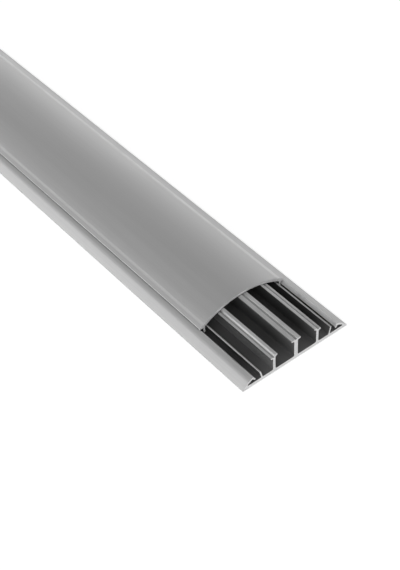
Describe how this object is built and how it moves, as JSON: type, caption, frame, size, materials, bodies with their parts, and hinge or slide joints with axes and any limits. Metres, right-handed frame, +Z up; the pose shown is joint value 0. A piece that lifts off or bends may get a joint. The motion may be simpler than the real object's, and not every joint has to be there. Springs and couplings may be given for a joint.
{
  "type": "floor cable cover",
  "caption": "Low floor cable cover: a channelled aluminium base with ramped edges and dividers, and a clip-on arched lid slid part way back.",
  "frame": {"origin": "underside of the base, at the middle of its width and of its length", "axes": "+Y along the stock, towards the far end and the way the lid slides off; the open end with the channels showing faces -Y; +Z up; +X across, to the right seen from the open end"},
  "size_m": [0.075, 1.045, 0.017],
  "materials": {
    "base": "satin natural anodised, with fine extrusion lines and bright sawn ends",
    "lid": "satin natural anodised, with fine extrusion lines and bright sawn ends"
  },
  "bodies": {
    "base": {"base": "base"},
    "lid": {"lid": "lid"}
  },
  "joints": [
    {"name": "lid_slide", "type": "slide", "parent": "base", "child": "lid", "axis": [0, 1, 0], "range_m": [-0.045, 0.96]}
  ]
}
